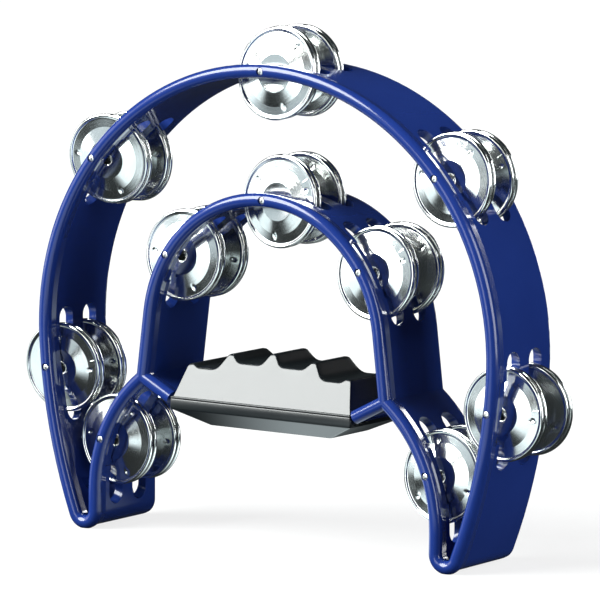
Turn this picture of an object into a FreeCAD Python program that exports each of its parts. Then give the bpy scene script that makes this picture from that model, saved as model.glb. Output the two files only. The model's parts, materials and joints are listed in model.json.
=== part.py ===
import FreeCAD, Part
import math
import os
import Sketcher

# Hand-held crescent tambourine. It stands on the tips of its two legs, at Z = 0, with X across it
# and Y through it from front to back. One moulded band is bent into an outer arc, two U-shaped
# leg tips, two inner legs and an inner arch. A bar across the arch carries the hand grip.
# Each jingle station has a steel pin through the band and two slots with a pair of jingles each.

V = FreeCAD.Vector
THROUGH = V(0, 1, 0)
ORIGIN = V(0, 0, 0)

DIMENSIONS = {
    # the band
    "band_depth": 53.0,
    "rim_radius": 3.4,
    "web_half": 2.3,
    "rim_depth": 9.2,
    "outer_radius": 134.0,
    "outer_centre": 103.0,
    "side_radius": 290.0,
    "side_start": 95.0,
    "arm_across": 102.4,
    "leg_radius": 76.0,
    "leg_start": 20.0,
    "arch_radius": 69.1,
    "arch_centre": 104.7,
    "arch_splay": 7.0,
    "tip_corner": 8.0,
    "foot_cut": 0.4,
    # the bar and its core in the grip
    "bar_height": 71.4,
    "bar_half": 55.2,
    "core_width": 38.0,
    # jingle stations, as angles about each arc's centre
    "top_angle": 90.3,
    "upper_right_angle": 41.0,
    "upper_left_angle": 140.5,
    "right_angle": -9.9,
    "left_angle": 189.8,
    "arch_top_angle": 89.4,
    "arch_right_angle": 33.2,
    "arch_left_angle": 146.4,
    "leg_angle": 20.5,
    "slot_width": 11.2,
    "slot_half": 29.0,
    "slot_reach": 11.0,
    "leg_slot_half": 31.5,
    "leg_slot_drop": 2.5,
    "front_slot": -8.7,
    "rear_slot": 11.0,
    "recess_half": 15.0,
    "recess_deep": 0.8,
    "recess_run": 2.6,
    "recess_overlap": 0.2,
    "overrun": 3.0,
    # pins
    "pin_radius": 0.9,
    "pin_play": 0.02,
    "pin_sunk": 0.5,
    "pin_mouth": 2.0,
    "pin_head": 1.6,
    "pin_head_tall": 1.4,
    # jingles
    "jingle_radius": 23.0,
    "jingle_bore": 2.75,
    "jingle_drop": 1.7,
    "rim_roll": 0.95,
    "rim_offset": 1.7,
    "dome_foot": 16.5,
    "dome_top": 9.6,
    "dome_rise": 2.3,
    "sheet": 0.5,
    # grip, from the parting plane
    "grip_half": 54.2,
    "grip_half_depth": 26.0,
    "lip_height": 1.0,
    "lip_width": 1.0,
    "grip_tall": 28.0,
    "end_lean": 0.27,
    "side_lean": 0.44,
    "grip_wall": 3.0,
    "cavity_tall": 12.0,
    "belt_height": 5.2,
    "keel_depth": 13.1,
    "keel_half": 36.4,
    "keel_half_depth": 16.5,
    "core_play": 0.1,
    # grip screws
    "screw_across": 30.0,
    "screw_along": 10.0,
    "screw_radius": 1.5,
    "screw_head": 2.9,
    "screw_head_tall": 2.2,
    "screw_sunk": 1.0,
    "screw_bite": 6.5,
    "screw_play": 0.2,
    "boss_radius": 4.0,
}

# How the two pairs at a station hang in their slots, front pair first. Each pair has its slide
# along the pin from the slot's middle, in mm, and in degrees how far its top leans back and how
# far its +X edge leans back.
HANG = {
    "top": ((-0.6, 7, 0), (0.5, -5, 0)),
    "upper_right": ((0.5, 3, -2), (0.4, -6, -1)),
    "upper_left": ((-0.3, -7, 5), (-0.3, -5, -2)),
    "right": ((0.0, 2, -2), (0.5, -4, 8)),
    "left": ((-0.3, -5, 1), (-0.5, -4, 0)),
    "arch_top": ((0.5, 3, -4), (1.1, -1, 0)),
    "arch_right": ((0.3, 5, -2), (0.9, 4, 6)),
    "arch_left": ((0.8, 3, 0), (0.9, 2, 0)),
    "leg_right": ((-0.2, 4, -4), (0.5, -3, 2)),
    "leg_left": ((-0.9, 0, -3), (-0.8, -2, -1)),
}
# the rear jingle of a pair leans less than the front one
REAR_LEAN = 0.75


def make_sheet(doc):
    sheet = doc.addObject("Spreadsheet::Sheet", "dims")
    for row, (alias, value) in enumerate(DIMENSIONS.items(), 1):
        sheet.set(f"A{row}", alias)
        sheet.set(f"B{row}", str(value))
        sheet.setAlias(f"B{row}", alias)
    doc.recompute()
    return sheet


doc = FreeCAD.newDocument("tambourine")
sheet = make_sheet(doc)


def size(alias):
    """A driving dimension, read from the sheet."""
    return float(getattr(sheet, alias))


# ---------------------------------------------------------------- sketches and bodies


def new_body(label):
    body = doc.addObject("PartDesign::Body", label)
    body.Label = label
    return body


def new_sketch(body, name, role, height=None):
    """A sketch on one of the body's own planes, lifted off it by an expression."""
    sketch = body.newObject("Sketcher::SketchObject", name)
    plane = next(f for f in body.Origin.OriginFeatures if f.Role == role)
    sketch.AttachmentSupport = [(plane, "")]
    sketch.MapMode = "FlatFace"
    if height:
        sketch.setExpression("AttachmentOffset.Base.z", height)
    return sketch


def bind(sketch, constraint, name, expression):
    """Add a dimension to a sketch and bind it to the sheet."""
    index = sketch.addConstraint(constraint)
    sketch.renameConstraint(index, name)
    sketch.setExpression(f"Constraints.{name}", expression)


def add_loop(sketch, points):
    """A closed outline of straight lines, corner to corner."""
    first = sketch.GeometryCount
    count = len(points)
    for i, start in enumerate(points):
        end = points[(i + 1) % count]
        sketch.addGeometry(Part.LineSegment(V(*start, 0), V(*end, 0)), False)
    for i in range(count):
        after = first + (i + 1) % count
        sketch.addConstraint(Sketcher.Constraint("Coincident", first + i, 2, after, 1))
    return first


def add_rectangle(sketch, half_x, half_y, half_x_expression, half_y_expression):
    """A rectangle about the sketch's origin, its half sizes bound to the sheet."""
    corners = [(-half_x, -half_y), (half_x, -half_y), (half_x, half_y), (-half_x, half_y)]
    add_loop(sketch, corners)
    for line, kind in enumerate(("Horizontal", "Vertical", "Horizontal", "Vertical")):
        sketch.addConstraint(Sketcher.Constraint(kind, line))
    sketch.addConstraint(Sketcher.Constraint("Symmetric", 0, 1, 1, 2, -1, 1))
    bind(sketch, Sketcher.Constraint("DistanceX", -1, 1, 1, 2, half_x), "half_x", half_x_expression)
    bind(sketch, Sketcher.Constraint("DistanceY", -1, 1, 1, 2, half_y), "half_y", half_y_expression)


def add_circles(sketch, radius, expression):
    """One circle at each grip screw."""
    for i, (x, y) in enumerate(screw_places()):
        sketch.addGeometry(Part.Circle(V(x, y, 0), V(0, 0, 1), radius), False)
        bind(sketch, Sketcher.Constraint("Radius", i, radius), f"radius_{i}", expression)
        lengths = {"DistanceX": ("screw_across", x), "DistanceY": ("screw_along", y)}
        for kind, (alias, value) in lengths.items():
            sign = "" if value > 0 else "-"
            name = f"{kind}_{i}"
            bind(sketch, Sketcher.Constraint(kind, -1, 1, i, 3, value), name, f"{sign}dims.{alias}")


def screw_places():
    across, along = size("screw_across"), size("screw_along")
    return [(x, y) for x in (-across, across) for y in (-along, along)]


# ---------------------------------------------------------------- the band


def band_profile(beside):
    """The band's section, as a face in the plane of Y and the direction beside.

    The front edge is a round rim that tapers to the web; the back edge is a plain round.
    """
    half_depth = size("band_depth") / 2
    rim, web = size("rim_radius"), size("web_half")
    rim_y = rim - half_depth
    crease_y = size("rim_depth") - half_depth
    back_y = half_depth - web
    # the taper is the line from the crease that touches the rim's circle
    run, rise = crease_y - rim_y, web
    touch = math.atan2(rise, run) + math.acos(rim / math.hypot(run, rise))

    def at(y, across):
        return THROUGH * y + beside * across

    def side(sign):
        return (
            at(rim_y + rim * math.cos(touch), sign * rim * math.sin(touch)),
            at(crease_y, sign * web),
            at(back_y, sign * web),
        )

    left, right = side(-1), side(1)
    edges = [
        Part.Arc(left[0], at(rim_y - rim, 0), right[0]).toShape(),
        Part.LineSegment(right[0], right[1]).toShape(),
        Part.LineSegment(right[1], right[2]).toShape(),
        Part.Arc(right[2], at(half_depth, 0), left[2]).toShape(),
        Part.LineSegment(left[2], left[1]).toShape(),
        Part.LineSegment(left[1], left[0]).toShape(),
    ]
    return Part.Face(Part.Wire(edges))


def ray(angle):
    """The direction at an angle in the X-Z plane, in degrees from +X towards +Z."""
    turn = math.radians(angle)
    return V(math.cos(turn), 0, math.sin(turn))


def band_arc(centre, radius, start, end):
    """A stretch of band along an arc, from one angle to another."""
    face = band_profile(ray(start))
    face.translate(centre + ray(start) * radius)
    # a turn about -Y takes +X towards +Z
    return face.revolve(centre, -THROUGH, end - start)


def band_line(start, end):
    """A straight stretch of band."""
    along = end - start
    beside = THROUGH.cross(along)
    beside.normalize()
    face = band_profile(beside)
    face.translate(start)
    return face.extrude(along)


def mirrored(shape):
    return shape.mirror(ORIGIN, V(1, 0, 0))


def outer_centre():
    return V(0, 0, size("outer_centre"))


def arch_centre():
    return V(0, 0, size("arch_centre"))


def leg_centre():
    return V(size("arm_across") - size("leg_radius"), 0, size("leg_start"))


def side_angle():
    """Where the outer arc runs into the flatter side, below the horizontal."""
    drop = size("outer_centre") - size("side_start")
    return math.degrees(math.asin(drop / size("outer_radius")))


def side_centre():
    return outer_centre() - ray(-side_angle()) * (size("side_radius") - size("outer_radius"))


def tip_circle():
    """Centre and radius of the round turn that joins the side to the upright inner arm."""
    big, lift = size("side_radius"), size("rim_radius") - size("foot_cut")
    across = size("arm_across") - side_centre().x
    up = lift - side_centre().z
    # (across + r)^2 + (up + r)^2 = (big - r)^2
    half_b = across + up + big
    radius = -half_b + math.sqrt(half_b**2 - (across**2 + up**2 - big**2))
    return V(size("arm_across") + radius, 0, lift + radius), radius


def junction():
    """Where the splayed side of the arch meets the leg's arc, on the right."""
    splay = math.radians(size("arch_splay"))
    start = arch_centre() + ray(size("arch_splay")) * size("arch_radius")
    down = V(math.sin(splay), 0, -math.cos(splay))
    gap = start - leg_centre()
    half_b = gap.dot(down)
    travel = -half_b - math.sqrt(half_b**2 - gap.dot(gap) + size("leg_radius") ** 2)
    return start, start + down * travel


def band_right_half():
    """The right leg, the side above it and the arch's right side, piece by piece."""
    tip, tip_radius = tip_circle()
    toward_tip = tip - side_centre()
    side_end = math.degrees(math.atan2(toward_tip.z, toward_tip.x))
    arm_foot = V(size("arm_across"), 0, tip.z)
    arm_head = V(size("arm_across"), 0, size("leg_start"))
    arch_end, meet = junction()
    reach = meet - leg_centre()
    leg_end = math.degrees(math.atan2(reach.z, reach.x))
    return [
        band_arc(side_centre(), size("side_radius"), -side_angle(), side_end),
        band_arc(tip, tip_radius, side_end, -180),
        band_line(arm_foot, arm_head),
        band_arc(leg_centre(), size("leg_radius"), 0, leg_end),
        band_line(meet, arch_end),
        band_line(V(size("bar_half"), 0, size("bar_height")), meet),
    ]


def joint_knuckle(place):
    """Fills the outside of a bend in the band with the band's own rounded section."""
    face = band_profile(V(1, 0, 0))
    depth, across = size("band_depth"), 2 * size("rim_radius")
    outer_side = Part.makeBox(across, depth, across, V(0, -depth / 2, -across / 2))
    whole = face.common(outer_side)
    turned = whole.revolve(ORIGIN, THROUGH, 360)
    turned.translate(place)
    return turned


def bar_core():
    """The flat core of the bar that the grip closes on, with its screw holes."""
    half, width = size("bar_half"), size("core_width")
    web = size("web_half")
    # the core runs into the band at both ends
    long = 2 * (half + web)
    core = Part.makeBox(long, width, 2 * web, V(-long / 2, -width / 2, size("bar_height") - web))
    tall = 2 * (web + size("overrun"))
    for x, y in screw_places():
        foot = V(x, y, size("bar_height") - tall / 2)
        hole = Part.makeCylinder(size("screw_radius") + size("screw_play"), tall, foot)
        core = core.cut(hole)
    return core


def stations():
    """Each jingle station: its name, its arc's centre and radius, and its angle on that arc."""
    outer = (outer_centre(), size("outer_radius"))
    arch = (arch_centre(), size("arch_radius"))
    leg = (leg_centre(), size("leg_radius"))
    left_leg = (V(-leg[0].x, 0, leg[0].z), leg[1])
    return [
        ("top", *outer, size("top_angle")),
        ("upper_right", *outer, size("upper_right_angle")),
        ("upper_left", *outer, size("upper_left_angle")),
        ("right", *outer, size("right_angle")),
        ("left", *outer, size("left_angle")),
        ("arch_top", *arch, size("arch_top_angle")),
        ("arch_right", *arch, size("arch_right_angle")),
        ("arch_left", *arch, size("arch_left_angle")),
        ("leg_right", *leg, size("leg_angle")),
        ("leg_left", *left_leg, 180 - size("leg_angle")),
    ]


def slot_tool(name, centre, radius, angle, y):
    """A round-ended slot cutter through the band at a station, its long way along the band."""
    half_width = size("slot_width") / 2
    half, drop = size("slot_half"), 0.0
    if name.startswith("leg"):
        half, drop = size("leg_slot_half"), size("leg_slot_drop")
    out, reach = ray(angle), size("slot_reach")
    down = THROUGH.cross(out)
    if down.z > 0:
        down = -down
    middle = centre + out * (radius - reach) + down * drop + THROUGH * y
    straight = half - half_width
    box = Part.makeBox(2 * straight, 2 * half_width, 2 * reach, V(-straight, -half_width, 0))
    ends = [Part.makeCylinder(half_width, 2 * reach, V(x, 0, 0)) for x in (-straight, straight)]
    tool = box.fuse(ends).removeSplitter()
    turn = FreeCAD.Rotation(THROUGH.cross(out), THROUGH, out, "ZXY")
    tool.Placement = FreeCAD.Placement(middle, turn)
    return tool


def recess_tool(centre, radius, angle):
    """Thins the land between the rim and the front slot on both faces of the band."""
    web, deep, over = size("web_half"), size("recess_deep"), size("overrun")
    start_y = size("rim_depth") - size("band_depth") / 2 - size("recess_run")
    slot_edge = size("front_slot") - size("slot_width") / 2
    width = slot_edge + size("recess_overlap") - start_y
    spread = math.degrees(size("recess_half") / radius)
    tools = []
    for low in (radius + web - deep, radius - web - over):
        face = Part.makePlane(deep + over, width, V(low, start_y, 0))
        face.rotate(ORIGIN, THROUGH, spread - angle)
        face.translate(centre)
        tools.append(face.revolve(centre, -THROUGH, 2 * spread))
    return tools


def pin_place(centre, radius, angle):
    return centre + ray(angle) * radius


def pin_hole(place):
    """The pin's bore, with a counterbore for its head in front and a wider mouth behind."""
    depth, over = size("band_depth"), size("overrun")
    bore = size("pin_radius") + size("pin_play")
    hole = Part.makeCylinder(bore, depth + 2 * over, place - THROUGH * (depth / 2 + over), THROUGH)
    seat = size("pin_sunk") + size("pin_head_tall")
    for sign, deep in ((-1, seat), (1, size("pin_sunk"))):
        start = place + THROUGH * sign * (depth / 2 - deep)
        hole = hole.fuse(Part.makeCylinder(size("pin_mouth"), deep + over, start, THROUGH * sign))
    return hole


def tip_corner_tools():
    """Rounds the rear lower corner of each leg tip, seen from the side."""
    corner, half_depth = size("tip_corner"), size("band_depth") / 2
    start = V(outer_centre().x + size("leg_radius"), half_depth - corner, 0)
    wide = size("outer_radius") - start.x
    over = size("overrun")
    block = Part.makeBox(wide, corner + over, corner + over, start - V(0, 0, over))
    rounder = Part.makeCylinder(corner, wide, start + V(0, 0, corner), V(1, 0, 0))
    tool = block.cut(rounder)
    return [tool, mirrored(tool)]


def make_frame():
    """The whole moulded band, its bar, slots and pin bores, as one solid.

    The rims of the two leg tips are cut flat at Z = 0, so that it stands on them.
    """
    start = -side_angle()
    pieces = [band_arc(outer_centre(), size("outer_radius"), start, 180 - start)]
    splay = size("arch_splay")
    pieces.append(band_arc(arch_centre(), size("arch_radius"), splay, 180 - splay))
    half = band_right_half()
    knuckle = joint_knuckle(junction()[1])
    half.append(knuckle)
    pieces += half + [mirrored(p) for p in half]
    pieces.append(bar_core())
    solid = pieces[0].multiFuse(pieces[1:]).removeSplitter()
    cutters = []
    for name, centre, radius, angle in stations():
        for slot in ("front_slot", "rear_slot"):
            cutters.append(slot_tool(name, centre, radius, angle, size(slot)))
        cutters += recess_tool(centre, radius, angle)
        cutters.append(pin_hole(pin_place(centre, radius, angle)))
    cutters += tip_corner_tools()
    reach, depth = size("outer_radius"), size("band_depth")
    below = V(-reach, -depth / 2, -size("rim_radius"))
    cutters.append(Part.makeBox(2 * reach, depth, size("rim_radius"), below))
    solid = solid.cut(cutters)
    return solid.removeSplitter()


def add_frame():
    frame = doc.addObject("Part::Feature", "frame")
    frame.Label = "frame"
    frame.Shape = make_frame()
    frame.Placement = FreeCAD.Placement(ORIGIN, FreeCAD.Rotation())
    return frame


# ---------------------------------------------------------------- pins


def add_pin(name, place):
    """A steel rod through the band at a station, its head sunk into the rim in front."""
    depth, sunk, tall = size("band_depth"), size("pin_sunk"), size("pin_head_tall")
    turn = FreeCAD.Rotation(V(0, 0, 1), THROUGH)
    front = place - THROUGH * (depth / 2 - sunk)
    head = doc.addObject("Part::Cylinder", f"head_{name}")
    head.setExpression("Radius", "dims.pin_head")
    head.setExpression("Height", "dims.pin_head_tall")
    head.Placement = FreeCAD.Placement(front, turn)
    shank = doc.addObject("Part::Cylinder", f"shank_{name}")
    shank.setExpression("Radius", "dims.pin_radius")
    shank.setExpression("Height", "dims.band_depth - 2 * dims.pin_sunk - dims.pin_head_tall")
    shank.Placement = FreeCAD.Placement(front + THROUGH * tall, turn)
    pin = doc.addObject("Part::Fuse", f"pin_{name}")
    pin.Label = f"pin_{name}"
    pin.Base = head
    pin.Tool = shank
    return pin


# ---------------------------------------------------------------- jingles


def dish_height():
    """Height of a jingle's bore above the plane of its rim."""
    return 0.8 * size("dome_rise")


def jingle_outline():
    """Half of a jingle's section: radius across, and height above the plane of its rim.

    The sheet's two faces run from the bore over the dome and the flange to the rolled rim.
    """
    skin, roll = size("sheet") / 2, size("rim_roll")
    foot, top, rise = size("dome_foot"), size("dome_top"), size("dome_rise")
    meet = size("jingle_radius") - roll - math.sqrt(roll**2 - skin**2)
    middle = [(size("jingle_bore"), dish_height()), (top, rise), (foot, 0.25 * rise), (meet, 0)]
    above = [(r, up + skin) for r, up in middle]
    below = [(r, up - skin) for r, up in reversed(middle)]
    return above, below


def add_jingle(name, hook, axis):
    """A thin stamped cymbal with a rolled rim, its bore at hook and its dome facing along axis."""
    body = new_body(f"jingle_{name}")
    sketch = new_sketch(body, f"section_{name}", "XZ_Plane")
    above, below = jingle_outline()
    lines = list(zip(above, above[1:])) + list(zip(below, below[1:])) + [(below[-1], above[0])]
    for start, end in lines:
        sketch.addGeometry(Part.LineSegment(V(*start, 0), V(*end, 0)), False)
    roll, middle = size("rim_roll"), size("jingle_radius") - size("rim_roll")
    open_half = math.pi - math.asin(size("sheet") / 2 / roll)
    circle = Part.Circle(V(middle, 0, 0), V(0, 0, 1), roll)
    arc = sketch.addGeometry(Part.ArcOfCircle(circle, -open_half, open_half), False)
    last_above = len(above) - 2
    joined = [(i, i + 1) for i in range(len(lines) - 1) if i != last_above] + [(len(lines) - 1, 0)]
    for before, after in joined:
        sketch.addConstraint(Sketcher.Constraint("Coincident", before, 2, after, 1))
    sketch.addConstraint(Sketcher.Constraint("Coincident", last_above, 2, arc, 2))
    sketch.addConstraint(Sketcher.Constraint("Coincident", arc, 1, last_above + 1, 1))
    sketch.addConstraint(Sketcher.Constraint("Vertical", len(lines) - 1))
    bore = Sketcher.Constraint("DistanceX", -1, 1, 0, 1, size("jingle_bore"))
    bind(sketch, bore, "bore", "dims.jingle_bore")
    rim = Sketcher.Constraint("DistanceX", -1, 1, arc, 3, middle)
    bind(sketch, rim, "rim", "dims.jingle_radius - dims.rim_roll")
    bind(sketch, Sketcher.Constraint("Radius", arc, roll), "roll", "dims.rim_roll")
    turned = body.newObject("PartDesign::Revolution", f"turned_{name}")
    turned.Profile = sketch
    turned.ReferenceAxis = (sketch, ["V_Axis"])
    turned.Angle = 360
    body.Tip = turned
    turn = FreeCAD.Rotation(V(0, 0, 1), axis)
    body.Placement = FreeCAD.Placement(hook - axis * dish_height(), turn)
    return body


def leaned(back, side):
    """The axis of a jingle whose top and +X edge lean back by so many degrees."""
    back, side = math.radians(back), math.radians(side)
    across = -math.sin(side) * math.cos(back)
    return V(across, math.cos(side) * math.cos(back), -math.sin(back))


def add_pair(name, letters, slot, place):
    """Two jingles on a pin, domes outward. Each hangs by its bore, so it sits below the pin."""
    pair = 0 if slot == "front_slot" else 1
    slide, back, side = HANG[name][pair]
    hang = place - V(0, 0, size("jingle_drop")) + THROUGH * (size(slot) + slide)
    reach = size("rim_offset") + dish_height()
    made = []
    for letter, facing, share in zip(letters, (-1, 1), (1, REAR_LEAN)):
        axis = leaned(share * back, share * side) * facing
        made.append(add_jingle(f"{name}_{letter}", hang + THROUGH * facing * reach, axis))
    return made


def add_station(name, centre, radius, angle):
    """A pin and its two pairs of jingles."""
    place = pin_place(centre, radius, angle)
    front = add_pair(name, "ab", "front_slot", place)
    rear = add_pair(name, "cd", "rear_slot", place)
    return [add_pin(name, place)] + front + rear


# ---------------------------------------------------------------- the grip


def add_loft(body, kind, name, low, high):
    """A loft between two rectangles. Each is (height, half X, half Y), as sheet expressions."""
    sketches = []
    for end, (height, half_x, half_y) in (("low", low), ("high", high)):
        sketch = new_sketch(body, f"{name}_{end}", "XY_Plane", height)
        add_rectangle(sketch, evaluate(half_x), evaluate(half_y), half_x, half_y)
        sketches.append(sketch)
    loft = body.newObject(f"PartDesign::{kind}", name)
    loft.Profile = sketches[0]
    loft.Sections = [sketches[1]]
    loft.Ruled = True
    body.Tip = loft
    doc.recompute()
    return loft


def evaluate(expression):
    """The number that a sheet expression stands for."""
    return float(sheet.evalExpression(expression.replace("dims.", "")))


def add_prism(body, kind, name, height, length, draw, reverse=False):
    """A pad or pocket of what draw puts into a sketch at some height."""
    sketch = new_sketch(body, f"{name}_sketch", "XY_Plane", height)
    draw(sketch)
    prism = body.newObject(f"PartDesign::{kind}", name)
    prism.Profile = sketch
    prism.setExpression("Length", length)
    prism.Reversed = reverse
    body.Tip = prism
    doc.recompute()
    return prism


def rounded(corners):
    """An open outline through corners, each given as (across, up, radius), as sketch edges."""
    points = [V(x, z, 0) for x, z, _ in corners]
    edges, last = [], points[0]
    for before, corner, after, (_, _, radius) in zip(points, points[1:], points[2:], corners[1:]):
        back, onward = (before - corner).normalize(), (after - corner).normalize()
        half = back.getAngle(onward) / 2
        reach = radius / math.tan(half)
        middle = corner + (back + onward).normalize() * (radius / math.sin(half) - radius)
        edges.append(Part.LineSegment(last, corner + back * reach))
        last = corner + onward * reach
        edges.append(Part.Arc(corner + back * reach, middle, last))
    edges.append(Part.LineSegment(last, points[-1]))
    return edges


def finger_outline():
    """The top of the grip from end to end: five ridges with a finger groove between each two."""
    half = [
        (0.0, 25.4, 1.0), (1.6, 25.2, 1.6), (5.6, 19.7, 5.5), (19.4, 19.7, 5.5), (23.4, 23.3, 1.8),
        (26.2, 23.3, 1.8), (31.4, 15.6, 6.5), (42.6, 15.6, 4.0), (45.6, 17.2, 1.5), (60.0, 17.0, 1.0),
    ]
    left = [(-x, z, r) for x, z, r in reversed(half[1:])]
    return left + half


def cut_fingers(body):
    """Pockets everything above the finger outline, right through from front to back."""
    sketch = new_sketch(body, "fingers_sketch", "XZ_Plane")
    edges = rounded(finger_outline())
    first, last = edges[0].StartPoint, edges[-1].EndPoint
    roof = size("grip_tall") + size("overrun")
    edges.append(Part.LineSegment(last, V(last.x, roof, 0)))
    edges.append(Part.LineSegment(V(last.x, roof, 0), V(first.x, roof, 0)))
    edges.append(Part.LineSegment(V(first.x, roof, 0), first))
    for edge in edges:
        sketch.addGeometry(edge, False)
    pocket = body.newObject("PartDesign::Pocket", "fingers")
    pocket.Profile = sketch
    pocket.Midplane = True
    pocket.Length = 2 * size("band_depth")
    body.Tip = pocket
    doc.recompute()
    return pocket


def add_grip_upper():
    """The hollow upper half of the grip, with a lip along its lower edge."""
    body = new_body("grip_upper")
    half, deep, lip = "dims.grip_half", "dims.grip_half_depth", "dims.lip_width"
    lip_x, lip_y = size("grip_half"), size("grip_half_depth")
    add_prism(body, "Pad", "lip", "0", "dims.lip_height",
              lambda sketch: add_rectangle(sketch, lip_x, lip_y, half, deep))
    low = ("dims.lip_height", f"{half} - {lip}", f"{deep} - {lip}")
    high = (
        "dims.grip_tall",
        f"{half} - {lip} - dims.end_lean * dims.grip_tall",
        f"{deep} - {lip} - dims.side_lean * dims.grip_tall",
    )
    add_loft(body, "AdditiveLoft", "block", low, high)
    cut_fingers(body)
    low = ("0", f"{half} - {lip} - dims.grip_wall", f"{deep} - {lip} - dims.grip_wall")
    high = (
        "dims.cavity_tall",
        f"{half} - {lip} - dims.grip_wall - dims.end_lean * dims.cavity_tall",
        f"{deep} - {lip} - dims.grip_wall - dims.side_lean * dims.cavity_tall",
    )
    add_loft(body, "SubtractiveLoft", "cavity", low, high)
    mouth_x, mouth_y = size("grip_half") + size("overrun"), size("core_width") / 2 + size("core_play")
    add_prism(body, "Pocket", "core_mouth", "0", "dims.web_half + dims.core_play",
              lambda sketch: add_rectangle(sketch, mouth_x, mouth_y, f"{half} + dims.overrun",
                                           "dims.core_width / 2 + dims.core_play"), True)
    add_prism(body, "Pad", "bosses", "dims.web_half + dims.core_play",
              "dims.cavity_tall - dims.web_half - dims.core_play",
              lambda sketch: add_circles(sketch, size("boss_radius"), "dims.boss_radius"))
    add_prism(body, "Pocket", "pilots", "0", "dims.web_half + dims.screw_bite + 1",
              lambda sketch: add_circles(sketch, size("screw_radius"), "dims.screw_radius"), True)
    body.Placement = FreeCAD.Placement(V(0, 0, size("bar_height")), FreeCAD.Rotation())
    return body


def add_grip_lower():
    """The keel-shaped lower half of the grip: a belt, then sides that lean in to a flat bottom."""
    body = new_body("grip_lower")
    half, deep = "dims.grip_half", "dims.grip_half_depth"
    belt_x, belt_y = size("grip_half"), size("grip_half_depth")
    add_prism(body, "Pad", "belt", "0", "dims.belt_height",
              lambda sketch: add_rectangle(sketch, belt_x, belt_y, half, deep), True)
    low = ("-dims.keel_depth", "dims.keel_half", "dims.keel_half_depth")
    high = ("-dims.belt_height", half, deep)
    add_loft(body, "AdditiveLoft", "keel", low, high)
    wall = "dims.grip_wall"
    add_prism(body, "Pocket", "belt_cavity", "0", "dims.belt_height",
              lambda sketch: add_rectangle(sketch, belt_x - size("grip_wall"), belt_y - size("grip_wall"),
                                           f"{half} - {wall}", f"{deep} - {wall}"))
    low = ("-dims.keel_depth + dims.grip_wall", "dims.keel_half", "dims.keel_half_depth")
    high = ("-dims.belt_height", f"{half} - {wall}", f"{deep} - {wall}")
    add_loft(body, "SubtractiveLoft", "keel_cavity", low, high)
    mouth_x, mouth_y = size("grip_half") + size("overrun"), size("core_width") / 2 + size("core_play")
    add_prism(body, "Pocket", "core_mouth_lower", "0", "dims.web_half + dims.core_play",
              lambda sketch: add_rectangle(sketch, mouth_x, mouth_y, f"{half} + dims.overrun",
                                           "dims.core_width / 2 + dims.core_play"))
    add_prism(body, "Pad", "bosses_lower", "-dims.keel_depth",
              "dims.keel_depth - dims.web_half - dims.core_play",
              lambda sketch: add_circles(sketch, size("boss_radius"), "dims.boss_radius"))
    shank_hole = size("screw_radius") + size("screw_play")
    head_hole = size("screw_head") + size("screw_play")
    add_prism(body, "Pocket", "clearance", "0", "dims.keel_depth",
              lambda sketch: add_circles(sketch, shank_hole, "dims.screw_radius + dims.screw_play"))
    add_prism(body, "Pocket", "head_seats", "-dims.keel_depth", "dims.screw_sunk + dims.screw_head_tall",
              lambda sketch: add_circles(sketch, head_hole, "dims.screw_head + dims.screw_play"), True)
    body.Placement = FreeCAD.Placement(V(0, 0, size("bar_height")), FreeCAD.Rotation())
    return body


def add_grip_screws():
    """Four pan-head screws that close the grip on the bar, from below."""
    body = new_body("grip_screws")
    head_base = "-dims.keel_depth + dims.screw_sunk"
    add_prism(body, "Pad", "heads", head_base, "dims.screw_head_tall",
              lambda sketch: add_circles(sketch, size("screw_head"), "dims.screw_head"))
    add_prism(body, "Pad", "shanks", f"{head_base} + dims.screw_head_tall",
              "dims.keel_depth - dims.screw_sunk - dims.screw_head_tall + dims.web_half + dims.screw_bite",
              lambda sketch: add_circles(sketch, size("screw_radius"), "dims.screw_radius"))
    body.Placement = FreeCAD.Placement(V(0, 0, size("bar_height")), FreeCAD.Rotation())
    return body


def check(parts):
    """Stop if any object failed, or a sub-part has no sound solid."""
    for thing in doc.Objects:
        if {"Invalid", "Error"} & set(thing.State):
            raise RuntimeError(f"{thing.Name} failed: {thing.State}")
    for part in parts:
        if part.Shape.isNull() or not part.Shape.isValid() or not part.Shape.Solids:
            raise RuntimeError(f"{part.Label} has no valid solid")


subparts = [add_frame(), add_grip_upper(), add_grip_lower(), add_grip_screws()]
for station in stations():
    subparts += add_station(*station)
doc.recompute()
check(subparts)

os.makedirs("parts", exist_ok=True)
for part in subparts:
    part.Shape.exportStep(f"parts/{part.Label}.step")
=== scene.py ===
import json
import math
import random

import bmesh
import bpy
from mathutils import Matrix, Vector


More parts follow.
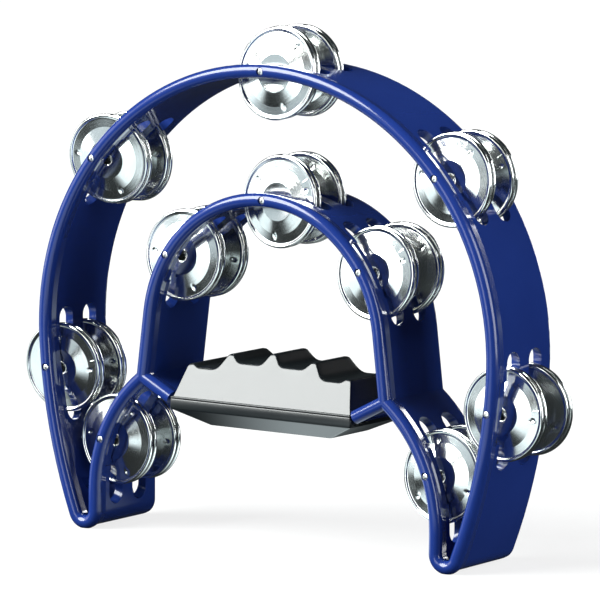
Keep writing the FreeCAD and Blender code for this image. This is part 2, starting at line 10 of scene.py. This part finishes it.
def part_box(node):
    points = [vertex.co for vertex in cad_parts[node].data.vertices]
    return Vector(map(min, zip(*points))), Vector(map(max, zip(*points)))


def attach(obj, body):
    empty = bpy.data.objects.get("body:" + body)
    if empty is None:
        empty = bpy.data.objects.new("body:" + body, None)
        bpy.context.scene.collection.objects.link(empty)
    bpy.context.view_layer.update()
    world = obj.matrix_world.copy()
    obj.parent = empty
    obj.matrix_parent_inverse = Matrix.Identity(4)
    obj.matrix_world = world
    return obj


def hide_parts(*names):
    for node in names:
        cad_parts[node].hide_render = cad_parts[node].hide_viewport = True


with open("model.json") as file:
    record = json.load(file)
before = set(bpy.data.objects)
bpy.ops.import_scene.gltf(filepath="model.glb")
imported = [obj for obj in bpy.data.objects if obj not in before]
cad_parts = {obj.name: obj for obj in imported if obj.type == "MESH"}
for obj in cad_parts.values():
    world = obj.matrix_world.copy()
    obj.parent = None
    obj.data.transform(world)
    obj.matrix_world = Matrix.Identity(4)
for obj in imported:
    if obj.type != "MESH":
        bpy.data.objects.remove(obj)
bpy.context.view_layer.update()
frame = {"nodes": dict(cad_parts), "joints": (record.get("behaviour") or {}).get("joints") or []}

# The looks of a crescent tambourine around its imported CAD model: the moulded frame and the screws
# keep their CAD meshes, and the jingles, pins and grip halves are finer meshes in the same places.
# The sizes of jingles, pins and grip are in millimetres, and mesh_from turns them into metres.
# The studio's are in metres.

MM = 0.001
BODY = "frame_body"
chance = random.Random(7)


# ---------------------------------------------------------------- mesh helpers

def new_object(name, data):
    made = bpy.data.objects.new(name, data)
    bpy.context.scene.collection.objects.link(made)
    return made


def mesh_from(name, points, faces):
    """A mesh with smooth shading, from points in millimetres."""
    mesh = bpy.data.meshes.new(name)
    mesh.from_pydata([Vector(p) * MM for p in points], [], faces)
    work = bmesh.new()
    work.from_mesh(mesh)
    bmesh.ops.recalc_face_normals(work, faces=work.faces)
    work.to_mesh(mesh)
    work.free()
    for polygon in mesh.polygons:
        polygon.use_smooth = True
    return mesh


def round_corners(corners, steps=6):
    """An open outline through corners (a, b, radius), with each inner corner turned into an arc."""
    outline = [corners[0][:2]]
    for before, here, after in zip(corners, corners[1:], corners[2:]):
        corner, radius = Vector(here[:2]), here[2]
        back = (Vector(before[:2]) - corner).normalized()
        onward = (Vector(after[:2]) - corner).normalized()
        half = back.angle(onward) / 2
        if radius <= 0 or half > math.radians(89):
            outline.append(tuple(corner))
            continue
        reach = radius / math.tan(half)
        centre = corner + (back + onward).normalized() * (radius / math.sin(half))
        start, end = corner + back * reach - centre, corner + onward * reach - centre
        sweep = start.angle_signed(end)
        for i in range(steps + 1):
            turn = Matrix.Rotation(-sweep * i / steps, 2)
            outline.append(tuple(centre + turn @ start))
    outline.append(corners[-1][:2])
    return outline


def turned(name, section, angles, place):
    """A closed section of (radius, height), repeated at each angle. place turns them into a point."""
    points, faces = [], []
    count = len(section)
    for angle in angles:
        points += [place(r, h, angle) for r, h in section]
    for i in range(len(angles)):
        j = (i + 1) % len(angles)
        for k in range(count):
            up = (k + 1) % count
            faces.append((i * count + k, i * count + up, j * count + up, j * count + k))
    return mesh_from(name, points, faces)


# ---------------------------------------------------------------- materials

class Tree:
    """Short calls for building one material's node tree."""

    def __init__(self, name):
        self.material = bpy.data.materials.new(name)
        self.material.use_nodes = True
        self.nodes = self.material.node_tree.nodes
        self.links = self.material.node_tree.links
        self.shader = self.nodes["Principled BSDF"]

    def add(self, kind, settings=None, **inputs):
        """A node. Inputs are values or other nodes' outputs, by name with _ for a space."""
        node = self.nodes.new(kind)
        for key, value in (settings or {}).items():
            setattr(node, key, value)
        for key, value in inputs.items():
            self.put(node.inputs[key.replace("_", " ")], value)
        return node

    def put(self, socket, value):
        if isinstance(value, bpy.types.NodeSocket):
            self.links.new(value, socket)
        else:
            socket.default_value = value

    def shade(self, **inputs):
        for key, value in inputs.items():
            self.put(self.shader.inputs[key.replace("_", " ")], value)

    def math(self, operation, a, b=0.0):
        node = self.nodes.new("ShaderNodeMath")
        node.operation = operation
        self.put(node.inputs[0], a)
        self.put(node.inputs[1], b)
        return node.outputs[0]

    def noise(self, where, scale, detail=2.0, roughness=0.5):
        node = self.add("ShaderNodeTexNoise", Vector=where, Scale=scale, Detail=detail, Roughness=roughness)
        return node.outputs["Fac"]

    def spread(self, value, low, high, start=0.3, end=0.7):
        """value between start and end, spread over low to high."""
        node = self.add("ShaderNodeMapRange", {"clamp": True})
        for key, number in (("From Min", start), ("From Max", end), ("To Min", low), ("To Max", high)):
            node.inputs[key].default_value = number
        self.put(node.inputs["Value"], value)
        return node.outputs["Result"]

    def blend(self, factor, first, second):
        node = self.nodes.new("ShaderNodeMix")
        node.data_type = "RGBA"
        self.put(node.inputs["Factor"], factor)
        self.put(node.inputs[6], first)
        self.put(node.inputs[7], second)
        return node.outputs[2]

    def bump(self, height, strength, distance, under=None):
        node = self.add("ShaderNodeBump", Height=height, Strength=strength, Distance=distance)
        if under is not None:
            self.put(node.inputs["Normal"], under)
        return node.outputs["Normal"]

    def place(self, stretch=(1, 1, 1), turn=(0, 0, 0)):
        """The place on the object, stretched and turned where that is asked for."""
        here = self.nodes.new("ShaderNodeTexCoord").outputs["Object"]
        if stretch == (1, 1, 1) and turn == (0, 0, 0):
            return here
        mapping = self.add("ShaderNodeMapping", Vector=here)
        mapping.inputs["Scale"].default_value = stretch
        mapping.inputs["Rotation"].default_value = turn
        return mapping.outputs["Vector"]


def scratches(tree, turn, scale, thin):
    """A mask of fine straight scratches along one direction."""
    where = tree.place(stretch=(scale, scale * 0.02, scale), turn=turn)
    return tree.spread(tree.noise(where, 1.0, 1.0), 0.0, 1.0, 0.5 + thin, 0.53 + thin)


def moulded_blue():
    """Deep blue glossy plastic with a faint moulding ripple, handling marks and fine scratches."""
    tree = Tree("moulded_blue_plastic")
    here = tree.place()
    tone = tree.spread(tree.noise(here, 18.0, 3.0), 0.0, 1.0)
    colour = tree.blend(tone, (0.0074, 0.021, 0.126, 1), (0.0095, 0.026, 0.150, 1))
    marks = scratches(tree, (0.3, 0.5, 0.9), 900.0, 0.22)
    smudge = tree.spread(tree.noise(here, 60.0, 4.0, 0.6), 0.0, 1.0)
    handled = tree.spread(smudge, 0.11, 0.17, 0.0, 1.0)
    roughness = tree.math("ADD", handled, tree.math("MULTIPLY", marks, 0.05))
    ripple = tree.bump(tree.noise(here, 160.0, 2.0), 0.06, 0.0004)
    grain = tree.bump(tree.noise(here, 1500.0, 2.0), 0.04, 0.0001, ripple)
    scored = tree.bump(marks, 0.04, 0.0001, grain)
    tree.shade(Base_Color=colour, Roughness=roughness, Normal=scored)
    tree.shade(**{"Specular IOR Level": 0.45})
    return tree.material


def plated_jingle():
    """Nickel-plated sheet: concentric turning marks, a few smudges and tiny pits."""
    tree = Tree("plated_steel_jingle")
    here = tree.place()
    parts = tree.add("ShaderNodeSeparateXYZ", Vector=here)
    across = tree.math("POWER", parts.outputs["X"], 2.0)
    upward = tree.math("POWER", parts.outputs["Y"], 2.0)
    radius = tree.math("SQRT", tree.math("ADD", across, upward))
    by_radius = {"noise_dimensions": "1D"}
    rings = tree.add("ShaderNodeTexNoise", by_radius, W=radius, Scale=5000.0, Detail=3.0).outputs["Fac"]
    broad = tree.add("ShaderNodeTexNoise", by_radius, W=radius, Scale=900.0, Detail=1.0).outputs["Fac"]
    smudge = tree.spread(tree.noise(here, 90.0, 4.0, 0.6), 0.0, 1.0, 0.35, 0.75)
    tone = tree.blend(smudge, (0.83, 0.845, 0.835, 1), (0.74, 0.76, 0.755, 1))
    roughness = tree.math("ADD", tree.spread(rings, 0.09, 0.15), tree.math("MULTIPLY", smudge, 0.06))
    fine = tree.bump(rings, 0.10, 0.00006)
    wide = tree.bump(broad, 0.06, 0.0001, fine)
    pits = tree.spread(tree.noise(here, 1600.0, 2.0), 0.0, 1.0, 0.66, 0.72)
    pitted = tree.bump(pits, 0.10, 0.00005, wide)
    tree.shade(Base_Color=tone, Metallic=1.0, Roughness=roughness, Normal=pitted)
    return tree.material


def drawn_steel(name, bright, dull):
    """Drawn wire: bright, with lines along its length and dull specks."""
    tree = Tree(name)
    here = tree.place()
    lines = tree.noise(tree.place(stretch=(4000, 60, 4000)), 1.0, 2.0)
    specks = tree.spread(tree.noise(here, 700.0, 3.0), 0.0, 1.0, 0.45, 0.65)
    colour = tree.blend(specks, bright, dull)
    roughness = tree.math("ADD", tree.spread(lines, 0.16, 0.30), tree.math("MULTIPLY", specks, 0.1))
    tree.shade(Base_Color=colour, Metallic=1.0, Roughness=roughness, Normal=tree.bump(lines, 0.15, 0.00005))
    return tree.material


def black_plastic():
    """Semi-gloss black plastic with a fine spark-eroded grain and a few handling marks."""
    tree = Tree("black_grip_plastic")
    here = tree.place()
    tone = tree.spread(tree.noise(here, 40.0, 3.0), 0.0, 1.0)
    colour = tree.blend(tone, (0.0035, 0.0050, 0.0060, 1), (0.0060, 0.0080, 0.0092, 1))
    marks = scratches(tree, (0.2, 0.1, 1.4), 700.0, 0.22)
    smudge = tree.noise(here, 110.0, 4.0, 0.6)
    handled = tree.spread(smudge, 0.27, 0.31, 0.0, 1.0)
    roughness = tree.math("ADD", handled, tree.math("MULTIPLY", marks, 0.05))
    grain = tree.bump(tree.noise(here, 2600.0, 2.0), 0.08, 0.00006)
    ripple = tree.bump(tree.noise(here, 220.0, 2.0), 0.03, 0.0003, grain)
    tree.shade(Base_Color=colour, Roughness=roughness, Normal=ripple)
    tree.shade(**{"Specular IOR Level": 0.5})
    return tree.material


def paint(made, material):
    made.data.materials.clear()
    made.data.materials.append(material)


def dress(made, material):
    paint(made, material)


# ---------------------------------------------------------------- jingles

BORE, DOME_TOP, DOME_FOOT = 2.75, 9.6, 16.5
RADIUS, ROLL, SHEET, RISE = 23.0, 0.95, 0.5, 2.3
DISH = 0.8 * RISE
DIMPLES = (0, 120, 240)
DIMPLE_AT, DIMPLE_DEEP, DIMPLE_LONG, DIMPLE_WIDE = 17.3, 0.6, 0.95, 0.85
SEAM_AT, SEAM_HIGH, SEAM_WIDE, SEAM_START = 14.0, 0.12, 0.22, DOME_FOOT + 1.0

# Where the first of a jingle's three dimples points, in degrees from +X towards +Z.
FIRST_DIMPLE = {
    "top_a": 50, "upper_right_a": 53, "upper_left_a": 52, "right_a": 356, "left_a": 0, "arch_top_a": 22,
    "arch_right_a": 26, "arch_left_a": 55, "leg_right_a": 99, "leg_left_a": 53,
    "right_c": 332, "upper_left_c": 6, "left_c": 8, "arch_right_c": 42,
}


def jingle_section():
    """The closed section of a stamped jingle as (radius, height above the plane of its rim)."""
    skin, bead = SHEET / 2, RADIUS - ROLL
    meet = bead - math.sqrt(ROLL ** 2 - skin ** 2)
    corners = [
        (BORE, DISH, 0), (DOME_TOP - 0.9, RISE - 0.05, 1.5), (DOME_TOP, RISE, 1.2),
        (DOME_FOOT, 0.25 * RISE, 0.9), (meet, 0.0, 0),
    ]
    middle = round_corners(corners)
    fine = []
    for (r0, h0), (r1, h1) in zip(middle, middle[1:]):
        pieces = max(1, round((r1 - r0) / 0.8))
        fine += [(r0 + (r1 - r0) * i / pieces, h0 + (h1 - h0) * i / pieces) for i in range(pieces)]
    fine.append(middle[-1])
    above = [(r, h + skin) for r, h in fine]
    below = [(r, h - skin) for r, h in reversed(fine)]
    opening = math.pi - math.asin(skin / ROLL)
    steps = 18
    bead_arc = []
    for i in range(1, steps):
        turn = opening - 2 * opening * i / steps
        bead_arc.append((bead + ROLL * math.cos(turn), ROLL * math.sin(turn)))
    return above + bead_arc + below


def jingle_angles():
    """Angles round the jingle, closer together at the three dimples and at the seam mark."""
    angles = {round(i * 3.0, 3) for i in range(120)}
    for centre in DIMPLES:
        angles |= {round((centre + step * 0.75) % 360, 3) for step in range(-12, 13)}
    angles |= {round(SEAM_AT + step * 0.25, 3) for step in range(-8, 9)}
    return sorted(angles)


def bell(distance, width):
    """A bump one high, gone at about twice its width from the middle."""
    return math.exp(-(distance / width) ** 2)


def jingle_mesh():
    """A jingle with its bore at the origin and its dome towards +Z."""
    def place(r, h, degrees):
        for centre in DIMPLES:
            across = math.radians((degrees - centre + 180) % 360 - 180) * r
            h -= DIMPLE_DEEP * bell(r - DIMPLE_AT, DIMPLE_LONG) * bell(across, DIMPLE_WIDE)
        across = math.radians((degrees - SEAM_AT + 180) % 360 - 180) * r
        if SEAM_START < r < RADIUS - 2 * ROLL and h > 0:
            h += SEAM_HIGH * bell(across, SEAM_WIDE)
        turn = math.radians(degrees)
        return (r * math.cos(turn), r * math.sin(turn), h - DISH)

    return turned("jingle", jingle_section(), jingle_angles(), place)


def add_jingles(material):
    """A jingle for each hinge, facing along the hinge's own axis, to the front or to the back."""
    mesh = jingle_mesh()
    for joint in frame["joints"]:
        node = joint["child"]
        key = node[len("jingle_"):]
        facing = -1 if key[-1] in "ac" else 1
        dome = Vector(joint["axis"]) * facing
        first = math.radians(FIRST_DIMPLE.get(key, chance.uniform(0, 360)))
        across = Vector((math.cos(first), 0.0, math.sin(first)))
        level = Vector((1.0, 0.0, 0.0))
        level = (level - dome * level.dot(dome)).normalized()
        over = dome.cross(level)
        spun = mesh.copy()
        spun.transform(Matrix.Rotation(math.atan2(across.dot(over), across.dot(level)), 4, "Z"))
        turn = Matrix((level, over, dome)).transposed().to_4x4()
        made = new_object(node.replace("jingle", "cymbal"), spun)
        made.matrix_world = Matrix.Translation(joint["pos_m"]) @ turn
        dress(made, material)
        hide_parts(node)
        bpy.context.view_layer.update()
        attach(made, node)


# ---------------------------------------------------------------- pins

HEAD, HEAD_TALL, SHANK = 1.6, 1.4, 0.9
CROWN = 0.25


def pin_section(half):
    """From the middle of the head's face to the middle of the rear end, as (radius, y)."""
    front = [
        (0.0, -half), (HEAD * 0.5, -half + CROWN * 0.2), (HEAD * 0.85, -half + CROWN * 0.7),
        (HEAD, -half + CROWN * 1.6), (HEAD, -half + HEAD_TALL), (SHANK, -half + HEAD_TALL + 0.05),
    ]
    steps, end = 6, 0.5
    long = 2 * half - HEAD_TALL - 2 * end
    shank = [(SHANK, -half + HEAD_TALL + end + long * i / steps) for i in range(1, steps + 1)]
    rear = [(SHANK * 0.9, half - CROWN), (SHANK * 0.5, half - CROWN * 0.2), (0.0, half)]
    return front + shank + rear


def pin_mesh(name, section, sides=32):
    """A pin turned about Y, closed by a fan of triangles at each end."""
    points, faces, starts = [], [], []
    round_about = [2 * math.pi * i / sides for i in range(sides)]
    for r, y in section:
        starts.append(len(points))
        ring = [(r * math.cos(turn), y, r * math.sin(turn)) for turn in round_about]
        points += [(0.0, y, 0.0)] if r == 0 else ring
    for k, (a, b) in enumerate(zip(starts, starts[1:])):
        for i in range(sides):
            j = (i + 1) % sides
            if k == 0:
                faces.append((a, b + i, b + j))
            elif k == len(starts) - 2:
                faces.append((a + i, a + j, b))
            else:
                faces.append((a + i, b + i, b + j, a + j))
    return mesh_from(name, points, faces)


def add_pins(material):
    for node in sorted(n for n in frame["nodes"] if n.startswith("pin_")):
        low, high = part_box(node)
        section = pin_section((high.y - low.y) / 2 / MM)
        made = new_object(node.replace("pin", "rod"), pin_mesh(node, section))
        made.location = (low + high) / 2
        dress(made, material)
        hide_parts(node)
        bpy.context.view_layer.update()
        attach(made, BODY)


# ---------------------------------------------------------------- grip

PARTING = 71.4
GRIP_HALF, GRIP_DEEP, LIP = 54.2, 26.0, 1.0
END_LEAN, SIDE_LEAN = 0.27, 0.44
BELT, KEEL, KEEL_HALF, KEEL_DEEP = 5.2, 13.1, 36.4, 16.5
GRIP_CREASE = math.radians(40)


def finger_outline():
    """The top of the grip from end to end, as (x, height over the parting plane)."""
    half = [
        (0.0, 25.4, 1.0), (1.6, 25.2, 1.6), (5.6, 19.7, 5.5), (19.4, 19.7, 5.5), (23.4, 23.3, 1.8),
        (26.2, 23.3, 1.8), (31.4, 15.6, 6.5), (42.6, 15.6, 4.0), (45.6, 17.2, 1.5),
    ]
    top = 17.0
    half += [(GRIP_HALF - LIP - END_LEAN * top, top, 1.2), (GRIP_HALF - LIP - END_LEAN * 0.2, 0.2, 0)]
    return [(-x, z, r) for x, z, r in reversed(half[1:])] + half


def subdivide(outline, step):
    """The same outline, with points about a step apart."""
    fine = []
    for (a0, b0), (a1, b1) in zip(outline, outline[1:]):
        pieces = max(1, round(math.hypot(a1 - a0, b1 - b0) / step))
        fine += [(a0 + (a1 - a0) * i / pieces, b0 + (b1 - b0) * i / pieces) for i in range(pieces)]
    return fine + [outline[-1]]


def grip_section(tall):
    """Half of the grip's section across, from the top's middle down to the foot, as (y, z)."""
    edge = min(2.2, tall * 0.4)
    foot = GRIP_DEEP - LIP
    corners = [(0.0, tall, 0), (foot - SIDE_LEAN * tall, tall, edge), (foot, 0.0, 0)]
    rounded = round_corners(corners)
    top = [(rounded[1][0] * i / 5, tall) for i in range(5)]
    start, end = rounded[-2], rounded[-1]
    steps = 8
    side = [
        (start[0] + (end[0] - start[0]) * i / steps, start[1] + (end[1] - start[1]) * i / steps)
        for i in range(1, steps + 1)
    ]
    return top + rounded[1:-1] + side


def loft_rings(name, rings):
    """A closed solid through rings with the same number of points, capped at both ends."""
    count, points, faces = len(rings[0]), [p for ring in rings for p in ring], []
    for i in range(len(rings) - 1):
        here, there = i * count, (i + 1) * count
        for k in range(count):
            up = (k + 1) % count
            faces.append((here + k, here + up, there + up, there + k))
    faces.append(tuple(range(count)))
    faces.append(tuple(range((len(rings) - 1) * count, len(rings) * count)))
    return mesh_from(name, points, faces)


def upper_grip():
    """The upper half: a section across at each place along the finger outline."""
    rings = []
    for x, tall in subdivide(round_corners(finger_outline()), 1.0):
        half = grip_section(max(tall, 0.2))
        front = [(x, -y, PARTING + z) for y, z in half]
        back = [(x, y, PARTING + z) for y, z in reversed(half[1:])]
        rings.append(front + back)
    return new_object("grip_top", loft_rings("grip_top", rings))


def slab_ring(half_x, half_y, z, corner):
    """A rectangle with rounded corners at a height."""
    ring, steps = [], 5
    for quarter, (sx, sy) in enumerate(((1, 1), (-1, 1), (-1, -1), (1, -1))):
        for i in range(steps + 1):
            turn = math.pi / 2 * (quarter + i / steps)
            x = sx * (half_x - corner) + corner * math.cos(turn)
            y = sy * (half_y - corner) + corner * math.sin(turn)
            ring.append((x, y, z))
    return ring


def lip():
    """The thin lip round the foot of the upper half, with a soft edge."""
    soft = 0.35
    rings = [
        slab_ring(GRIP_HALF - LIP - 1.5, GRIP_DEEP - LIP - 1.5, PARTING + LIP, 0.8),
        slab_ring(GRIP_HALF - soft, GRIP_DEEP - soft, PARTING + LIP, 0.8),
        slab_ring(GRIP_HALF - soft * 0.3, GRIP_DEEP - soft * 0.3, PARTING + LIP - soft * 0.3, 0.9),
        slab_ring(GRIP_HALF, GRIP_DEEP, PARTING + LIP - soft, 1.0),
        slab_ring(GRIP_HALF, GRIP_DEEP, PARTING + 0.25, 1.0),
        slab_ring(GRIP_HALF - 0.3, GRIP_DEEP - 0.3, PARTING + 0.05, 0.9),
    ]
    return new_object("grip_lip", loft_rings("grip_lip", rings))


def lower_grip():
    """The belt and the keel under it."""
    rings = [
        slab_ring(GRIP_HALF - 0.5, GRIP_DEEP - 0.5, PARTING - 0.1, 0.7),
        slab_ring(GRIP_HALF - 0.15, GRIP_DEEP - 0.15, PARTING - 0.2, 0.9),
        slab_ring(GRIP_HALF, GRIP_DEEP, PARTING - 0.5, 1.0),
        slab_ring(GRIP_HALF, GRIP_DEEP, PARTING - BELT + 0.5, 1.0),
    ]

    def keel(t):
        """Half sizes and height at a share t of the way from the belt to the bottom."""
        return (
            GRIP_HALF + (KEEL_HALF - GRIP_HALF) * t,
            GRIP_DEEP + (KEEL_DEEP - GRIP_DEEP) * t,
            PARTING - BELT - (KEEL - BELT) * t,
        )

    for t in (0.015, 0.04, 0.2, 0.4, 0.6, 0.8, 0.94, 0.975):
        x, y, z = keel(t)
        rings.append(slab_ring(x, y, z, 1.0 + 0.5 * t))
    x, y, z = keel(1.0)
    rings.append(slab_ring(x - 0.2, y - 0.1, z + 0.03, 1.5))
    rings.append(slab_ring(x - 1.2, y - 0.9, z, 1.2))
    return new_object("grip_keel", loft_rings("grip_keel", rings))


def add_grip(material):
    upper, edge, lower = upper_grip(), lip(), lower_grip()
    for made in (upper, edge, lower):
        made.data.set_sharp_from_angle(angle=GRIP_CREASE)
        dress(made, material)
    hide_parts("grip_upper")
    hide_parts("grip_lower")
    for made in (upper, edge, lower):
        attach(made, BODY)


# ---------------------------------------------------------------- studio

# The camera, as fitted to the photograph: its direction and tilt, distance and aim in metres.
AZIMUTH, ELEVATION, ROLL_ANGLE = math.radians(34.47), math.radians(7.33), math.radians(0.38)
DISTANCE = 2.5268
LENS, SENSOR = 307.08, 36.0
AIM = Vector((0.006207, 0.0, 0.12265))

# Where the softboxes face, and the bearing in degrees of the left one and of the floor's left sheet.
PANEL_AIM = Vector((0, 0, 0.12))
LEFT_AZIMUTH = -65.0

# The floor's sheets in reflections: how bright each is, and where it begins or ends, in metres from
# the object or in degrees to each side of its bearing. The strip runs to the front, a little askew.
FLOOR_HALF, CARD_GLOW = 30.0, 0.03
STRIP_GLOW, STRIP_MIDDLE, STRIP_HALF, STRIP_NEAR, STRIP_SKEW = 1.5, 0.10, 0.20, 0.16, 0.2
LEFT_GLOW, LEFT_CENTRE, LEFT_HALF, LEFT_NEAR = 1.3, -0.10, 17.0, 0.18
UNDER_GLOW, UNDER_RADIUS = 2.2, 0.03
BACK_GLOW, BACK_HALF, BACK_NEAR = 1.0, 8.0, 0.40
BESIDE_GLOW, BESIDE_FROM, BESIDE_NEAR = 0.7, 58.0, 0.15


def direction(azimuth, elevation):
    """From the object towards azimuth (0 = the front, -Y, and 90 = +X) and elevation, in radians."""
    level = math.cos(elevation)
    return Vector((math.sin(azimuth) * level, -math.cos(azimuth) * level, math.sin(elevation)))


def add_camera():
    data = bpy.data.cameras.new("camera")
    data.sensor_width, data.lens = SENSOR, LENS
    camera = new_object("camera", data)
    back = direction(AZIMUTH, ELEVATION)
    right = Vector((math.cos(AZIMUTH), math.sin(AZIMUTH), 0))
    up = back.cross(right)
    across = right * math.cos(ROLL_ANGLE) + up * math.sin(ROLL_ANGLE)
    over = up * math.cos(ROLL_ANGLE) - right * math.sin(ROLL_ANGLE)
    turn = Matrix((across, over, back)).transposed().to_4x4()
    camera.matrix_world = Matrix.Translation(AIM + back * DISTANCE) @ turn
    data.clip_end = 200
    bpy.context.scene.camera = camera


def shine_from(made, towards):
    """Turns a light that stands towards that side, so that it shines back at the object, unseen itself."""
    made.rotation_mode = "QUATERNION"
    made.rotation_quaternion = towards.to_track_quat("Z", "Y")
    made.visible_camera = False


def add_sun(name, azimuth, elevation, strength, spread, colour=(1, 1, 1)):
    """A far round softbox: its place and spread in degrees, its strength in W/m2."""
    data = bpy.data.lights.new(name, "SUN")
    data.energy, data.color = strength, colour
    data.angle = math.radians(spread)
    shine_from(new_object(name, data), direction(math.radians(azimuth), math.radians(elevation)))


def add_panel(name, azimuth, elevation, distance, size, radiance, colour=(1, 1, 1)):
    """A softbox that faces PANEL_AIM: its place in degrees and metres, its (width, height) in metres."""
    width, height = size
    data = bpy.data.lights.new(name, "AREA")
    data.shape, data.size, data.size_y = "RECTANGLE", width, height
    data.energy = radiance * width * height * math.pi
    data.color = colour
    made = new_object(name, data)
    towards = direction(math.radians(azimuth), math.radians(elevation))
    made.location = PANEL_AIM + towards * distance
    shine_from(made, towards)


def fade_out(tree, value, edge, soft, glow=1.0):
    """glow below the edge, going to nothing over the soft width past it."""
    return tree.spread(value, glow, 0.0, edge, edge + soft)


def fade_in(tree, value, edge, soft):
    """Nothing below the edge, going to 1 over the soft width past it."""
    return tree.spread(value, 0.0, 1.0, edge, edge + soft)


def floor_sheets(tree, here):
    """The floor's brightness in reflections: dark card, with sheets in front, left, behind and below."""
    parts = tree.add("ShaderNodeSeparateXYZ", Vector=here).outputs
    ahead = tree.math("MULTIPLY", parts["Y"], -1.0)
    away = tree.add("ShaderNodeVectorMath", {"operation": "LENGTH"}, Vector=here).outputs["Value"]

    skewed = tree.math("ADD", parts["X"], tree.math("MULTIPLY", ahead, STRIP_SKEW))
    off_strip = tree.math("ABSOLUTE", tree.math("SUBTRACT", skewed, STRIP_MIDDLE))
    strip_width = fade_out(tree, off_strip, STRIP_HALF, 0.04, STRIP_GLOW)
    strip = tree.math("MULTIPLY", strip_width, fade_in(tree, ahead, STRIP_NEAR, 0.08))

    bearing = tree.math("ARCTAN2", tree.math("SUBTRACT", parts["X"], LEFT_CENTRE), ahead)
    off_left = tree.math("ABSOLUTE", tree.math("SUBTRACT", bearing, math.radians(LEFT_AZIMUTH)))
    left_width = fade_out(tree, off_left, math.radians(LEFT_HALF), math.radians(6.0), LEFT_GLOW)
    left = tree.math("MULTIPLY", left_width, fade_in(tree, away, LEFT_NEAR, 0.08))

    off_back = tree.math("ABSOLUTE", tree.math("ARCTAN2", parts["X"], parts["Y"]))
    middle = fade_out(tree, off_back, math.radians(BACK_HALF), math.radians(7.0), BACK_GLOW)
    beside_width = fade_in(tree, off_back, math.radians(BESIDE_FROM), math.radians(8.0))
    beside_depth = fade_out(tree, ahead, -BESIDE_NEAR, BESIDE_NEAR, BESIDE_GLOW)
    back = tree.math("MAXIMUM", middle, tree.math("MULTIPLY", beside_width, beside_depth))
    behind = tree.math("MULTIPLY", back, fade_in(tree, away, BACK_NEAR, 0.25))

    under = fade_out(tree, away, UNDER_RADIUS, 0.06, UNDER_GLOW)
    sheets = tree.math("MAXIMUM", tree.math("MAXIMUM", strip, left), tree.math("MAXIMUM", behind, under))
    return tree.math("ADD", sheets, CARD_GLOW)


def add_floor():
    """A plain pale floor to the camera, and a dark card with bright sheets to reflections."""
    mesh = bpy.data.meshes.new("floor")
    corners = [(x * FLOOR_HALF, y * FLOOR_HALF, 0) for x, y in ((-1, -1), (1, -1), (1, 1), (-1, 1))]
    mesh.from_pydata(corners, [], [(0, 1, 2, 3)])
    made = new_object("floor", mesh)
    tree = Tree("pale_floor")
    here = tree.place()
    speck = tree.noise(here, 40.0, 3.0)
    tree.shade(Base_Color=tree.blend(speck, (0.14, 0.14, 0.14, 1), (0.16, 0.16, 0.16, 1)), Roughness=1.0)
    tree.shade(**{"Specular IOR Level": 0.0, "Emission Color": (1, 1, 1, 1), "Emission Strength": 0.80})
    sheets = tree.add("ShaderNodeEmission", Color=(0.84, 0.97, 1.0, 1), Strength=floor_sheets(tree, here))
    choose = tree.add("ShaderNodeMixShader")
    seen = tree.add("ShaderNodeLightPath").outputs["Is Camera Ray"]
    tree.put(choose.inputs[0], seen)
    tree.put(choose.inputs[1], sheets.outputs[0])
    tree.put(choose.inputs[2], tree.shader.outputs[0])
    tree.put(tree.nodes["Material Output"].inputs["Surface"], choose.outputs[0])
    mesh.materials.append(tree.material)


def add_lights():
    """A soft key light from the front left, softboxes round the object and a faint sky."""
    add_sun("key", -41.0, 37.0, 9.2, 46.0, (0.97, 1.0, 0.985))
    add_panel("left_sheet", LEFT_AZIMUTH, 8.0, 1.3, (0.75, 0.5), 2.5)
    add_panel("low_front", -34.0, 7.0, 1.5, (0.8, 0.42), 0.7, (0.80, 0.94, 1.0))
    add_panel("front_strip", -2.0, 10.0, 1.5, (0.62, 0.76), 3.5, (0.97, 1.0, 1.0))
    add_panel("right_side", 88.0, 14.0, 1.5, (0.9, 1.2), 7.8, (0.95, 0.98, 1.0))
    add_panel("back_middle", 180.0, 8.0, 1.8, (0.4, 0.5), 12.0)
    world = bpy.data.worlds.new("world")
    bpy.context.scene.world = world
    world.use_nodes = True
    background = world.node_tree.nodes["Background"]
    background.inputs["Color"].default_value = (0.75, 0.9, 1.0, 1)
    background.inputs["Strength"].default_value = 0.03


# ---------------------------------------------------------------- the model

paint(frame["nodes"]["frame"], moulded_blue())
screw_steel = drawn_steel("screw_steel", (0.5, 0.5, 0.5, 1), (0.3, 0.3, 0.3, 1))
paint(frame["nodes"]["grip_screws"], screw_steel)

add_jingles(plated_jingle())
add_pins(drawn_steel("pin_steel", (0.9, 0.9, 0.88, 1), (0.6, 0.6, 0.58, 1)))
add_grip(black_plastic())

add_floor()
add_lights()
add_camera()
bpy.context.scene.view_settings.view_transform = "Standard"
bpy.context.view_layer.update()
